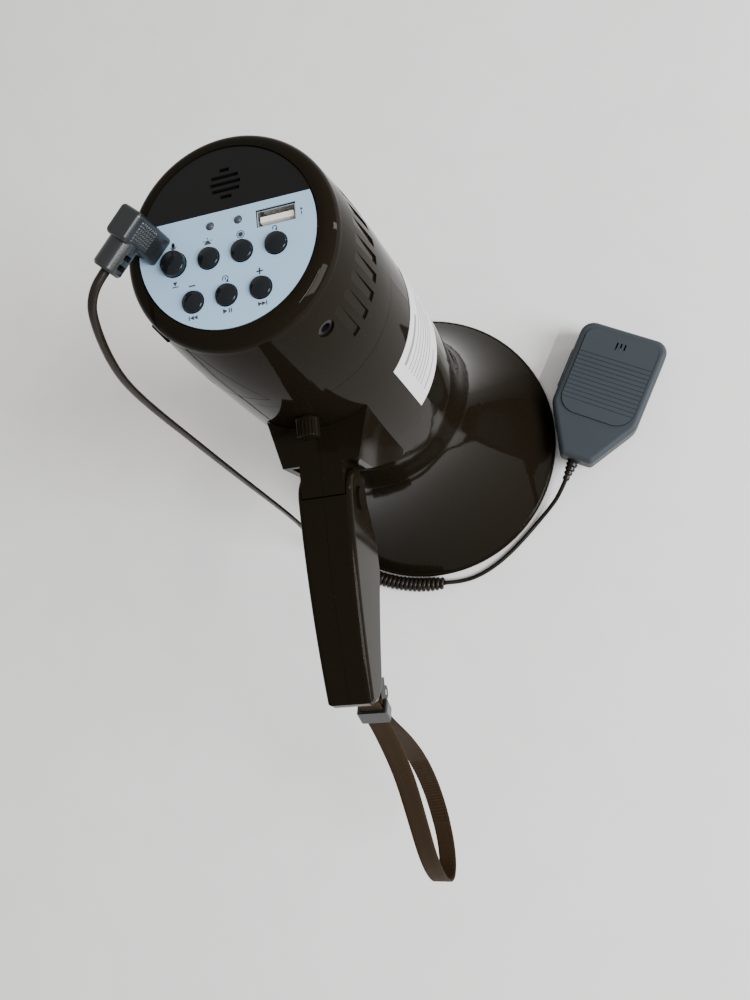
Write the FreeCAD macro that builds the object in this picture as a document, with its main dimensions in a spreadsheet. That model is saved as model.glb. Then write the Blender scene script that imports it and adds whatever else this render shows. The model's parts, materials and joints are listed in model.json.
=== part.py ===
import FreeCAD, Part
import math
import os
import Sketcher
from FreeCAD import Placement, Rotation, Vector

# Handheld megaphone with a folding pistol grip, a wrist strap and a corded hand microphone.
# It stands on its horn mouth: the origin is the centre of the mouth, +Z runs up the horn's axis to
# the control panel, the grip reaches towards -Y, and +X is the user's right. Millimetres.

SIZES = {
    # horn bell
    "mouth_radius": 95.5,
    "mouth_bore": 91.6,
    "mouth_land": 3.0,
    "bead_top": 6.2,
    "bead_inset": 1.9,
    "neck_radius": 47.3,
    "neck_height": 140.0,
    "neck_curve": 1787.0,
    "wall": 2.4,
    "seam_height": 275.0,
    "seam_radius": 42.2,
    "spigot_radius": 40.2,
    "spigot_depth": 4.0,
    # rear shell and control panel
    "total_height": 326.0,
    "rear_radius": 37.2,
    "rear_curve": 500.0,
    "edge_rounding": 5.6,
    "panel_opening": 31.3,
    "panel_radius": 31.0,
    "panel_underside": 323.3,
    "panel_thick": 2.3,
    "label_thick": 0.4,
    "label_radius": 30.8,
    "label_chord": 9.1,
    "ledge_radius": 29.4,
    "board_height": 315.4,
    "board_thick": 1.6,
    "button_radius": 3.65,
    "hold_button_radius": 4.25,
    "button_travel": 0.8,
    "hole_clearance": 0.25,
    "flute_depth": 0.7,
    "flute_width": 3.5,
    "flute_front": 291.5,
    "flute_rear": 310.5,
    "flute_count": 9,
    "flute_pitch": 9.4,
    # battery door and pack, in a frame turned to the door's middle
    "door_angle": -140.0,
    "door_front": 283.0,
    "door_rear": 318.5,
    "door_front_half": 28.0,
    "door_rear_half": 15.0,
    "door_gap": 0.35,
    "door_thick": 1.9,
    "hinge_radial": 37.0,
    "hinge_height": 318.2,
    "hinge_radius": 1.1,
    # volume knob
    "knob_height": 260.0,
    "knob_radius": 4.75,
    "knob_top": 43.9,
    "knob_end": 51.5,
    "shaft_radius": 3.0,
    # bracket and grip
    "bracket_rear": 248.0,
    "bracket_front": 178.0,
    "bracket_bottom": -59.5,
    "bracket_half_top": 22.5,
    "bracket_half_bottom": 16.3,
    "channel_half": 13.4,
    "knuckle_half": 9.1,
    "knuckle_front": 222.0,
    "knuckle_stop": -73.0,
    "knuckle_radius": 10.5,
    "pivot_y": -73.5,
    "pivot_z": 234.5,
    "pivot_radius": 3.0,
    "ear_radius": 13.0,
    "grip_half": 11.4,
    "grip_half_end": 9.7,
    "grip_end": -157.6,
    "grip_inner_half": 9.5,
    "grip_rounding": 2.5,
    "split_gap": 0.05,
    "trigger_half": 5.8,
    "trigger_pivot_y": -86.0,
    "trigger_pivot_z": 216.0,
    "strap_bar_y": -154.5,
    "strap_bar_z": 213.0,
    "strap_bar_radius": 1.3,
    "strap_width": 10.0,
    "strap_thick": 1.3,
    # hand microphone, in its own frame: +Y from the cord end to the top
    "mic_x": 105.81,
    "mic_y": -29.53,
    "mic_turn": -29.1,
    "mic_half": 29.3,
    "mic_length": 93.0,
    "mic_back": 6.5,
    "mic_seam": 15.0,
    "mic_front": 26.0,
    "mic_wall": 2.0,
    "mic_corner": 9.0,
    "boot_height": 14.0,
    "boot_length": 14.0,
    # cord
    "cord_radius": 1.5,
    "curl_radius": 5.25,
    "curl_ring": 101.3,
    "curl_start": 232.0,
    "curl_sweep": 42.0,
    "plug_x": -25.3,
    "plug_y": 2.0,
    "plug_turn": 228.0,
    "plug_reach": 15.3,
    "plug_cord_height": 338.0,
}

doc = FreeCAD.newDocument("megaphone")
sheet = doc.addObject("Spreadsheet::Sheet", "sizes")
for row, (alias, number) in enumerate(SIZES.items(), start=1):
    sheet.set("A%d" % row, alias)
    sheet.set("B%d" % row, str(number))
    sheet.setAlias("B%d" % row, alias)
doc.recompute()

NODES = []


class Size:
    """A length or an angle: its number, and the expression over the sheet that gives it."""

    def __init__(self, value, text):
        self.value = value
        self.text = text

    def __add__(self, other):
        other = as_size(other)
        return Size(self.value + other.value, "(%s + %s)" % (self.text, other.text))

    def __sub__(self, other):
        other = as_size(other)
        return Size(self.value - other.value, "(%s - %s)" % (self.text, other.text))

    def __mul__(self, other):
        other = as_size(other)
        return Size(self.value * other.value, "(%s * %s)" % (self.text, other.text))

    def __truediv__(self, other):
        other = as_size(other)
        return Size(self.value / other.value, "(%s / %s)" % (self.text, other.text))

    def __neg__(self):
        return Size(-self.value, "(0 - %s)" % self.text)


def as_size(number):
    if isinstance(number, Size):
        return number
    return Size(float(number), "(%r)" % float(number))


def get(alias):
    """A driving size from the sheet."""
    return Size(float(sheet.get(alias)), "sizes.%s" % alias)


def bind(obj, prop, size):
    """Set a property from the sheet."""
    size = as_size(size)
    obj.setExpression(prop, size.text)


def node(obj, label):
    """Name a finished piece; its label names its file."""
    obj.Label = label
    NODES.append(obj)
    return obj


# ---------------------------------------------------------------- sketches and solids

def pin_point(sketch, geometry, end, x, y):
    """Hold one point of a sketch at a place worked out from the sheet."""
    for kind, size in (("DistanceX", x), ("DistanceY", y)):
        size = as_size(size)
        index = sketch.addConstraint(
            Sketcher.Constraint(kind, -1, 1, geometry, end, size.value))
        sketch.setExpression("Constraints[%d]" % index, size.text)


def draw_circle(sketch, x, y, radius):
    x, y, radius = as_size(x), as_size(y), as_size(radius)
    centre = Vector(x.value, y.value, 0)
    geometry = sketch.addGeometry(Part.Circle(centre, Vector(0, 0, 1), radius.value))
    pin_point(sketch, geometry, 3, x, y)
    index = sketch.addConstraint(Sketcher.Constraint("Radius", geometry, radius.value))
    sketch.setExpression("Constraints[%d]" % index, radius.text)


def arc_between(start, end, radius):
    """The lesser arc from start to end; a positive radius turns left, a negative one right."""
    chord = end - start
    left = Vector(-chord.y, chord.x, 0).normalize()
    side = 1 if radius > 0 else -1
    reach = math.sqrt(max(radius * radius - chord.Length ** 2 / 4, 0))
    centre = (start + end) * 0.5 + left * (side * reach)
    first, last = (start, end) if side > 0 else (end, start)
    angles = [math.atan2(p.y - centre.y, p.x - centre.x) for p in (first, last)]
    return Part.ArcOfCircle(Part.Circle(centre, Vector(0, 0, 1), abs(radius)), *angles)


def draw_outline(sketch, corners):
    """A closed outline. A corner is (x, y), or (x, y, radius) where an arc leads to it."""
    corners = [tuple(as_size(part) for part in corner) for corner in corners]
    places = [Vector(corner[0].value, corner[1].value, 0) for corner in corners]
    ends = []
    for i, corner in enumerate(corners):
        start, end = places[i - 1], places[i]
        if len(corner) == 3:
            geometry = sketch.addGeometry(arc_between(start, end, corner[2].value))
            sign = 1 if corner[2].value > 0 else -1
            index = sketch.addConstraint(
                Sketcher.Constraint("Radius", geometry, abs(corner[2].value)))
            sketch.setExpression("Constraints[%d]" % index,
                                 (corner[2] * sign).text)
            ends.append((geometry, 1, 2) if sign > 0 else (geometry, 2, 1))
        else:
            geometry = sketch.addGeometry(Part.LineSegment(start, end))
            ends.append((geometry, 1, 2))
    for i, corner in enumerate(corners):
        geometry, _, last = ends[i]
        following, first, _ = ends[(i + 1) % len(ends)]
        sketch.addConstraint(Sketcher.Constraint("Coincident", geometry, last, following, first))
        pin_point(sketch, geometry, last, corner[0], corner[1])


def box_outline(x, y, width, height):
    """The corners of a rectangle about its centre."""
    x, y = as_size(x), as_size(y)
    half, rise = as_size(width) / 2, as_size(height) / 2
    return [(x - half, y - rise), (x + half, y - rise), (x + half, y + rise), (x - half, y + rise)]


def new_body(name):
    return doc.addObject("PartDesign::Body", name)


def new_sketch(body, role, outlines=(), circles=(), offset=0, turn=0):
    """A sketch on one of the body's own origin planes, moved along and turned about it."""
    sketch = body.newObject("Sketcher::SketchObject", body.Name + "_sketch")
    plane = [item for item in body.Origin.OriginFeatures if item.Role == role][0]
    sketch.AttachmentSupport = [(plane, "")]
    sketch.MapMode = "FlatFace"
    bind(sketch, "AttachmentOffset.Base.z", offset)
    if turn:
        sketch.AttachmentOffset = Placement(Vector(0, 0, 0), Rotation(Vector(0, 1, 0), turn))
    for corners in outlines:
        draw_outline(sketch, corners)
    for circle in circles:
        draw_circle(sketch, *circle)
    return sketch


def add_pad(body, role, length, outlines=(), circles=(), offset=0):
    """Pad a sketch along its plane's normal: +Z on XY, +X on YZ."""
    sketch = new_sketch(body, role, outlines, circles, offset)
    pad = body.newObject("PartDesign::Pad", body.Name + "_pad")
    pad.Profile = (sketch, [""])
    bind(pad, "Length", length)
    return pad


def plate(name, height, thick, outlines=(), circles=()):
    """A flat piece drawn on the XY plane; the outlines inside the largest one are holes."""
    body = new_body(name)
    add_pad(body, "XY_Plane", thick, outlines, circles, height)
    return body


def side_plate(name, half, corners):
    """A piece drawn as (y, z) and as wide as two halves, about X = 0."""
    body = new_body(name)
    add_pad(body, "YZ_Plane", as_size(half) * 2, [corners], offset=-as_size(half))
    return body


def turned(name, corners, sweep=360, start=0):
    """A piece turned about Z from an outline drawn as (radius, height)."""
    body = new_body(name)
    sketch = new_sketch(body, "XZ_Plane", [corners], turn=start)
    spin = body.newObject("PartDesign::Revolution", name + "_revolution")
    spin.Profile = (sketch, [""])
    spin.ReferenceAxis = (sketch, ["V_Axis"])
    bind(spin, "Angle", sweep)
    return body


def place(obj, x=0, y=0, z=0, axis=(0, 0, 1), angle=0):
    """Put a piece in its place, bound to the sheet."""
    obj.Placement = Placement(Vector(0, 0, 0), Rotation(Vector(*axis), as_size(angle).value))
    bind(obj, "Placement.Rotation.Angle", angle)
    for letter, size in (("x", x), ("y", y), ("z", z)):
        bind(obj, "Placement.Base." + letter, size)
    return obj


def move(obj, placement):
    """Put a piece at a placement worked out here, in place of one bound to the sheet."""
    for path in ("Base.x", "Base.y", "Base.z", "Rotation.Angle"):
        obj.setExpression("Placement." + path, None)
    obj.Placement = placement
    return obj


def cylinder(name, radius, length, x=0, y=0, z=0, axis=(0, 0, 1), angle=0):
    obj = doc.addObject("Part::Cylinder", name)
    bind(obj, "Radius", radius)
    bind(obj, "Height", length)
    return place(obj, x, y, z, axis, angle)


def rod_x(name, radius, half, y, z):
    """A round bar along X, centred on X = 0."""
    return cylinder(name, radius, as_size(half) * 2, -as_size(half), y, z, (0, 1, 0), 90)


def rod_y(name, radius, near, far, x, z):
    """A round bar along -Y from Y = -near to Y = -far."""
    near, far = as_size(near), as_size(far)
    return cylinder(name, radius, far - near, x, -near, z, (1, 0, 0), 90)


def box(name, low, high):
    obj = doc.addObject("Part::Box", name)
    for prop, letter, a, b in zip(("Length", "Width", "Height"), "xyz", low, high):
        bind(obj, prop, as_size(b) - a)
        bind(obj, "Placement.Base." + letter, a)
    return obj


def join(name, pieces):
    obj = doc.addObject("Part::MultiFuse", name)
    obj.Shapes = list(pieces)
    return obj


def group(name, pieces):
    """Separate solids kept as one piece of the list, such as a set of screws."""
    obj = doc.addObject("Part::Compound", name)
    obj.Links = list(pieces)
    return obj


def cut(name, base, tools):
    obj = doc.addObject("Part::Cut", name)
    obj.Base = base
    obj.Tool = tools[0] if len(tools) == 1 else join(name + "_tools", tools)
    return obj


def common(name, first, second):
    obj = doc.addObject("Part::Common", name)
    obj.Base = first
    obj.Tool = second
    return obj


def rounded(name, base, radius, wanted):
    """Round the edges of a piece that a test picks."""
    doc.recompute()
    obj = doc.addObject("Part::Fillet", name)
    obj.Base = base
    radius = as_size(radius).value
    obj.Edges = [(i, radius, radius) for i, edge in enumerate(base.Shape.Edges, start=1)
                 if wanted(edge)]
    return obj


def slope_radius(rise, run):
    """Radius of the arc that starts along the axis and moves out by rise over run."""
    return (rise * rise + run * run) / (rise * 2)


# ---------------------------------------------------------------- horn bell

MOUTH = get("mouth_radius")
BORE = get("mouth_bore")
LAND = get("mouth_land")
BEAD = get("bead_top")
NECK = get("neck_radius")
NECK_Z = get("neck_height")
CURVE = get("neck_curve")
WALL = get("wall")
SEAM_Z = get("seam_height")
SEAM_R = get("seam_radius")
SPIGOT = get("spigot_radius")
SPIGOT_Z = SEAM_Z - get("spigot_depth")
REAR_Z = get("total_height")


def neck_at(height):
    """The neck's outer radius at a height above where the flare ends."""
    run = as_size(height) - NECK_Z
    return NECK - run * run / (CURVE * 2)


def make_horn_bell():
    bead_root = MOUTH - get("bead_inset")
    outer_flare = slope_radius(bead_root - NECK, NECK_Z - BEAD)
    inner_flare = slope_radius(BORE - (NECK - WALL), NECK_Z - LAND)
    recess = SPIGOT + 0.1
    inner_end = neck_at(SPIGOT_Z - 0.2) - WALL
    blank = turned("bell_blank", [
        (SEAM_R, SEAM_Z),
        (NECK, NECK_Z, -CURVE),
        (bead_root, BEAD, outer_flare),
        (MOUTH, BEAD / 2, -2.6),
        (MOUTH, 0.7),
        (MOUTH - 0.7, 0),
        (BORE, 0),
        (BORE, LAND),
        (NECK - WALL, NECK_Z, -inner_flare),
        (inner_end, SPIGOT_Z - 0.2, CURVE - WALL),
        (recess, SPIGOT_Z - 0.2),
        (recess, SEAM_Z),
    ])
    knob_hole = rod_y("knob_hole", get("shaft_radius") + 0.35, 35, 50, 0, get("knob_height"))
    screw_holes = [rod_y("bell_screw_hole", 1.6, 35, 50, side * SCREW_X, SCREW_Z)
                   for side in (-1, 1)]
    node(cut("horn_bell", blank, [knob_hole] + screw_holes), "horn_bell")


SCREW_X = 5.0
SCREW_Z = 236.0
STICKER_FROM = 203.0
STICKER_TO = 250.0


def make_rating_sticker():
    start, sweep = -38.5, 60.5
    low, high = neck_at(STICKER_FROM) + 0.05, neck_at(STICKER_TO) + 0.05
    thick = 0.2
    node(turned("rating_sticker", [
        (low, STICKER_FROM, -CURVE),
        (low + thick, STICKER_FROM),
        (high + thick, STICKER_TO, CURVE),
        (high, STICKER_TO),
    ], sweep, start), "rating_sticker")


# ---------------------------------------------------------------- re-entrant horn and driver

BULKHEAD_Z = 206.0
FLANGE_Z = 210.0
DRIVER_SCREWS = 4


def make_throat_tube():
    node(turned("throat_tube", [
        (12, BULKHEAD_Z), (22, BULKHEAD_Z), (22, BULKHEAD_Z - 3), (14.5, BULKHEAD_Z - 3),
        (19, 112), (17.2, 112)]), "throat_tube")


def make_reflector():
    bowl = turned("reflector_bowl", [
        (0, 72), (33, 104, slope_radius(32, 33)), (32, 188), (30, 188), (31, 105),
        (0, 82, -slope_radius(23, 31))])
    ribs = []
    for i in range(3):
        rib = plate("reflector_rib", 132, 44, [box_outline(37.9, 0, 12.4, 2)])
        ribs.append(place(rib, angle=90 + 120 * i))
    node(join("reflector", [bowl] + ribs), "reflector")


def driver_screw_holes(radius, low, high):
    return [cylinder("driver_screw_hole", radius, high - low,
                     33 * math.cos(math.radians(45 + 90 * i)),
                     33 * math.sin(math.radians(45 + 90 * i)), low)
            for i in range(DRIVER_SCREWS)]


def make_driver():
    disc = turned("bulkhead_blank", [
        (14, BULKHEAD_Z), (43.3, BULKHEAD_Z), (43.3, FLANGE_Z), (37, FLANGE_Z),
        (37, FLANGE_Z + 3), (30.5, FLANGE_Z + 3), (30.5, FLANGE_Z + 9), (28.5, FLANGE_Z + 9),
        (28.5, FLANGE_Z + 2.5), (14, FLANGE_Z + 2.5)])
    node(cut("driver_bulkhead", disc, driver_screw_holes(1.5, 200, 220)), "driver_bulkhead")
    node(turned("driver_diaphragm", [
        (0, 217.6), (12.6, 214.6, -slope_radius(3, 12.6)), (28.2, 213.4), (28.2, 214.0),
        (13.2, 215.2), (13.2, 221.5), (12.8, 221.5), (12.8, 215.3),
        (0, 218.2, slope_radius(2.9, 12.8))]), "driver_diaphragm")
    node(turned("driver_top_plate", [(13.8, 219), (30, 219), (30, 223), (13.8, 223)]),
         "driver_top_plate")
    node(turned("driver_magnet", [(18, 223), (34, 223), (34, 235), (18, 235)]), "driver_magnet")
    node(turned("driver_yoke", [
        (3, 219.5), (12.2, 219.5), (12.2, 235), (34, 235), (34, 239.5), (3, 239.5)]),
        "driver_yoke")
    screws = []
    for i in range(DRIVER_SCREWS):
        screw = turned("driver_screw", [
            (0, 206.5), (1.4, 206.5), (1.4, 213), (2.4, 213), (2.4, 214.4), (0, 215)])
        angle = math.radians(45 + 90 * i)
        screws.append(place(screw, 33 * math.cos(angle), 33 * math.sin(angle)))
    node(group("driver_screws", screws), "driver_screws")


def make_amplifier():
    board = cylinder("amplifier_disc", 34, 1.6, 0, 0, 270)
    chips = [box("amplifier_chip", (-10, -8, 271.5), (8, 6, 274)),
             box("amplifier_sink", (12, -12, 271.5), (16, 12, 282)),
             cylinder("amplifier_capacitor", 5, 12, -18, 12, 271.5),
             cylinder("amplifier_capacitor", 4, 10, -16, 24, 271.5)]
    node(join("amplifier_board", [board] + chips), "amplifier_board")


# ---------------------------------------------------------------- rear shell

def rear_at(height):
    """The rear shell's outer radius at a height, along its long gentle arc."""
    top = REAR_Z - get("edge_rounding")
    run = (as_size(height) - SEAM_Z) / (top - SEAM_Z)
    bulge = (top - SEAM_Z) * (top - SEAM_Z) / (get("rear_curve") * 8)
    return SEAM_R + (get("rear_radius") - SEAM_R) * run + bulge * run * (as_size(1) - run) * 4


def door_prism(name, gap):
    """The tapering outline of the battery door, pushed through the shell's wall."""
    body = new_body(name)
    front, rear = get("door_front") + gap, get("door_rear") - gap
    wide, narrow = get("door_front_half") - gap, get("door_rear_half") - gap
    corners = [(-wide, front), (wide, front), (narrow, rear), (-narrow, rear)]
    add_pad(body, "YZ_Plane", 30, [corners], offset=22)
    return place(body, angle=get("door_angle"))


def hinge_bar(name, gap):
    """The battery door's hinge barrel, across the door's rear edge."""
    half = 4 + gap
    radius = get("hinge_radius") + gap
    bar = cylinder(name, radius, 2 * half)
    turn = Placement(Vector(0, 0, 0), Rotation(Vector(0, 0, 1), SIZES["door_angle"]))
    across = Placement(Vector(SIZES["hinge_radial"], -half, SIZES["hinge_height"]),
                       Rotation(Vector(1, 0, 0), -90))
    return move(bar, turn.multiply(across))


def make_rear_shell():
    curve = get("rear_curve")
    rounding = get("edge_rounding")
    opening = get("panel_opening")
    ledge = get("ledge_radius")
    under = get("panel_underside")
    body = turned("rear_shell_blank", [
        (SEAM_R, SEAM_Z + 0.3),
        (get("rear_radius"), REAR_Z - rounding, curve),
        (get("rear_radius") - rounding, REAR_Z, rounding),
        (opening, REAR_Z),
        (opening, under),
        (ledge, under),
        (ledge, under - 2),
        (35.4, under - 2),
        (38.9, 285, -curve),
        (38.4, SPIGOT_Z),
        (SPIGOT, SPIGOT_Z),
        (SPIGOT, SEAM_Z + 0.3),
    ])
    front, rear = get("flute_front"), get("flute_rear")
    first = -39.0
    sketch = new_sketch(body, "XZ_Plane", [[
        (rear_at(front) - get("flute_depth"), front), (50, front), (50, rear),
        (rear_at(rear) + 0.02, rear)]], turn=first)
    flute = body.newObject("PartDesign::Pocket", "flute")
    flute.Profile = (sketch, [""])
    flute.Midplane = True
    bind(flute, "Length", get("flute_width"))
    ring = body.newObject("PartDesign::PolarPattern", "flutes")
    ring.Originals = [flute]
    ring.Axis = (sketch, ["V_Axis"])
    bind(ring, "Occurrences", get("flute_count"))
    bind(ring, "Angle", get("flute_pitch") * (get("flute_count") - 1))
    body.Tip = ring
    opening_tool = door_prism("door_opening", as_size(0))
    charge_hole = cylinder("charge_hole", 3.3, 20)
    move(charge_hole, CHARGE_PLACE.multiply(Placement(Vector(0, 0, 25), Rotation())))
    hinge_notch = hinge_bar("hinge_notch", 0.3)
    node(cut("rear_shell", body, [opening_tool, charge_hole, hinge_notch]), "rear_shell")


CHARGE_ANGLE = -49.0
CHARGE_HEIGHT = 308.0
CHARGE_TURN = Placement(Vector(0, 0, CHARGE_HEIGHT), Rotation(Vector(0, 0, 1), CHARGE_ANGLE))
CHARGE_PLACE = CHARGE_TURN.multiply(Placement(Vector(0, 0, 0), Rotation(Vector(0, 1, 0), 90)))


def make_charge_socket():
    outer = rear_at(CHARGE_HEIGHT) - 0.6
    socket = turned("charge_socket", [
        (1.9, 31), (1.9, outer), (3.1, outer), (3.1, 28), (0, 28), (0, 31)])
    socket.Placement = CHARGE_PLACE
    node(socket, "charge_socket")


def make_battery():
    curve = get("rear_curve")
    thick = get("door_thick")
    low, high = get("door_front") - 1, get("door_rear") + 1
    skin = turned("door_skin", [
        (rear_at(low) - thick, low), (rear_at(low), low), (rear_at(high), high, curve),
        (rear_at(high) - thick, high)])
    door = common("battery_door_plain", skin, door_prism("door_piece", get("door_gap")))
    notch = cylinder("door_notch", 3.2, 16)
    turn = Placement(Vector(0, 0, 0), Rotation(Vector(0, 0, 1), SIZES["door_angle"]))
    across = Placement(Vector(rear_at(285).value + 2.2, -8, 286.5),
                       Rotation(Vector(1, 0, 0), -90))
    move(notch, turn.multiply(across))
    hinged = join("battery_door_hinged", [door, hinge_bar("hinge_barrel", 0)])
    node(cut("battery_door", hinged, [notch]), "battery_door")
    pack = plate("battery_pack", 284, 25.5, [box_outline(24.5, 0, 9, 38)])
    node(place(pack, angle=get("door_angle")), "battery_pack")
    tray = plate("battery_tray", 283, 27, [[
        (18.2, -21), (28, -21), (28, -19.4), (19.8, -19.4), (19.8, 19.4), (28, 19.4),
        (28, 21), (18.2, 21)]])
    node(place(tray, angle=get("door_angle")), "battery_tray")


# ---------------------------------------------------------------- control panel

BUTTONS = {
    "hold_talk_button": (-18.3, -5.6),
    "siren_button": (-6.1, -6.1),
    "record_button": (5.4, -6.1),
    "replay_button": (17.0, -6.1),
    "volume_down_button": (-12.4, -19.7),
    "play_button": (-0.8, -19.7),
    "volume_up_button": (10.9, -19.7),
}
LAMPS = [(-5.0, 4.8), (4.8, 4.8)]
USB_PLACE = (17.6, 3.4)
GRILLE_X = 1.0
GRILLE_Y = 18.7
GRILLE_PITCH = 2.35
GRILLE_ROWS = [3.4, 9.6, 10.7, 9.7, 4.0]
POSTS = [(-15, 21.5), (22.5, -14), (-22.5, -14.5)]
JACK_RADIUS = 3.4


def button_radius(name):
    return get("hold_button_radius" if name == "hold_talk_button" else "button_radius")


def panel_holes():
    """The openings that the panel and its label share: circles, then outlines."""
    clearance = get("hole_clearance")
    circles = [(x, y, button_radius(name) + clearance) for name, (x, y) in BUTTONS.items()]
    circles += [(x, y, 1.45) for x, y in LAMPS]
    circles.append((get("plug_x"), get("plug_y"), JACK_RADIUS + 0.1))
    return circles, [box_outline(*USB_PLACE, 13.5, 6.1)]


def make_panel():
    circles, outlines = panel_holes()
    under, thick = get("panel_underside"), get("panel_thick")
    slots = [box_outline(GRILLE_X, GRILLE_Y + (2 - row) * GRILLE_PITCH, width, 1.2)
             for row, width in enumerate(GRILLE_ROWS)]
    body = plate("control_panel", under, thick, outlines + slots,
                 circles + [(0, 0, get("panel_radius"))])
    post_foot = get("board_height") + get("board_thick")
    add_pad(body, "XY_Plane", under - post_foot, circles=[(x, y, 2.4) for x, y in POSTS],
            offset=post_foot)
    node(body, "control_panel")
    label = plate("label_disc", under + thick, get("label_thick"), outlines,
                  circles + [(0, 0, get("label_radius"))])
    top = box("label_top", (-40, get("label_chord"), 320), (40, 40, 330))
    node(cut("panel_label", label, [top]), "panel_label")


def make_button(name, x, y):
    radius = button_radius(name)
    under = get("panel_underside")
    rise = 2.9 if name == "hold_talk_button" else 1.9
    shoulder = REAR_Z + rise - 0.9
    crown = REAR_Z + rise
    body = turned(name, [
        (0, under - 2.1), (1.5, under - 2.1), (1.5, under - 1.1), (radius + 0.9, under - 1.1),
        (radius + 0.9, under - 0.2), (radius, under - 0.2), (radius, shoulder - 0.5),
        (radius - 0.6, shoulder + 0.1, 0.6), (0, crown, slope_radius(as_size(0.8), radius - 0.6))])
    node(place(body, x, y), name)


def make_switches():
    top = get("board_height") + get("board_thick")
    parts = []
    for x, y in BUTTONS.values():
        base = plate("switch_base", top, 2.6, [box_outline(0, 0, 6, 6)])
        plunger = cylinder("switch_plunger", 1.7, 3.3, 0, 0, top)
        parts.append(place(join("switch", [base, plunger]), x, y))
    node(group("tact_switches", parts), "tact_switches")


def make_control_board():
    height, thick = get("board_height"), get("board_thick")
    disc = cylinder("control_disc", 27.5, thick, 0, 0, height)
    notch = cylinder("jack_notch", JACK_RADIUS + 0.4, 6, get("plug_x"), get("plug_y"), height - 2)
    node(cut("control_board", disc, [notch]), "control_board")


def make_panel_fittings():
    top = get("board_height") + get("board_thick")
    lamps = [turned("lamp", [(0, top), (1.3, top), (1.3, 325.4), (0, 326.7, 1.3)])
             for _ in LAMPS]
    for lamp, (x, y) in zip(lamps, LAMPS):
        place(lamp, x, y)
    node(group("indicator_lamps", lamps), "indicator_lamps")
    x, y = USB_PLACE
    shell = plate("usb_shell", top, REAR_Z - top - 0.8, [box_outline(x, y, 13.1, 5.7),
                                                   box_outline(x, y, 12.4, 5.0)])
    node(shell, "usb_shell")
    node(plate("usb_tongue", top, 7.9, [box_outline(x, y - 0.1, 11.2, 1.9)]), "usb_tongue")
    node(cylinder("mic_capsule", 4.85, 5.4, GRILLE_X, GRILLE_Y, top + 0.6), "mic_capsule")
    jack = turned("mic_jack", [
        (1.8, 311.5), (1.8, REAR_Z), (JACK_RADIUS, REAR_Z), (JACK_RADIUS, 310.5), (0, 310.5),
        (0, 311.5)])
    node(place(jack, get("plug_x"), get("plug_y")), "mic_jack")


# ---------------------------------------------------------------- volume knob

def make_volume_knob():
    """Knurled knob under the body, made along +Z and then laid along -Y."""
    radius = get("knob_radius")
    top, end = get("knob_top"), get("knob_end")
    body = turned("volume_knob", [
        (0, 34), (get("shaft_radius"), 34), (get("shaft_radius"), top), (radius, top),
        (radius, end - 0.8), (radius - 0.8, end, 0.8),
        (0, end + 0.3, slope_radius(as_size(0.3), radius - 0.8))])
    sketch = new_sketch(body, "XY_Plane", circles=[(radius + 0.1, 0, 0.42)],
                        offset=top + 1.2)
    groove = body.newObject("PartDesign::Pocket", "knurl")
    groove.Profile = (sketch, [""])
    groove.Reversed = True
    groove.Length = 12
    knurls = body.newObject("PartDesign::PolarPattern", "knurls")
    knurls.Originals = [groove]
    knurls.Axis = (sketch, ["N_Axis"])
    knurls.Occurrences = 20
    knurls.Angle = 360
    body.Tip = knurls
    node(place(body, 0, 0, get("knob_height"), (1, 0, 0), 90), "volume_knob")
    case = cylinder("pot_case", 8, 7, 0, -31.5, get("knob_height"), (1, 0, 0), 90)
    bore = cylinder("pot_bore", get("shaft_radius") + 0.05, 6, 0, -33.9, get("knob_height"),
                    (1, 0, 0), 90)
    node(cut("volume_pot", case, [bore]), "volume_pot")


# ---------------------------------------------------------------- handle bracket

def make_bracket():
    rear, front = get("bracket_rear"), get("bracket_front")
    bottom = get("bracket_bottom")
    top_half, low_half = get("bracket_half_top"), get("bracket_half_bottom")
    block = plate("bracket_block", front, rear - front, [[
        (-low_half, bottom), (low_half, bottom), (top_half, -36), (-top_half, -36)]])
    slope = side_plate("bracket_slope", 40, [
        (bottom - 2, front - 2), (-46.5, front - 2), (-46.5, front), (bottom, 226),
        (bottom - 2, 226)])
    tunnel = side_plate("bracket_tunnel", get("channel_half"), [
        (-80, front - 5), (-30, front - 5), (-30, rear - 2.8), (-80, rear - 2.8)])
    shell = cut("bracket_shell", block, [slope, tunnel])
    stop = get("knuckle_stop")
    knuckle_front = get("knuckle_front")
    knuckle = side_plate("knuckle", get("knuckle_half"), [
        (-36, knuckle_front), (-36, rear), (stop, rear), (stop, knuckle_front)])
    barrel = rod_x("knuckle_barrel", get("knuckle_radius"), get("knuckle_half"),
                   get("pivot_y"), get("pivot_z"))
    solid = join("bracket_solid", [shell, knuckle, barrel])
    under_body = turned("bracket_saddle", [
        (0, 160), (neck_at(160) + 0.15, 160), (neck_at(260) + 0.15, 260, CURVE), (0, 260)])
    pivot_bore = rod_x("knuckle_bore", get("pivot_radius") + 0.08, 20, get("pivot_y"),
                       get("pivot_z"))
    screw_bores = [rod_y("bracket_screw_bore", 1.45, 40, 54, side * SCREW_X, SCREW_Z)
                   for side in (-1, 1)]
    whole = cut("bracket_whole", solid, [under_body, pivot_bore] + screw_bores)
    gap = get("split_gap")
    node(common("bracket_left", whole, box("left_of_split", (-60, -200, 0), (-gap, 0, 400))),
         "bracket_left")
    node(common("bracket_right", whole, box("right_of_split", (gap, -200, 0), (60, 0, 400))),
         "bracket_right")
    screws = []
    for side in (-1, 1):
        shank = rod_y("bracket_screw_shank", 1.4, 40.6, 53, side * SCREW_X, SCREW_Z)
        head = rod_y("bracket_screw_head", 2.8, 39.3, 41.2, side * SCREW_X, SCREW_Z)
        screws.append(join("bracket_screw", [shank, head]))
    node(group("bracket_screws", screws), "bracket_screws")


# ---------------------------------------------------------------- pistol grip

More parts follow.
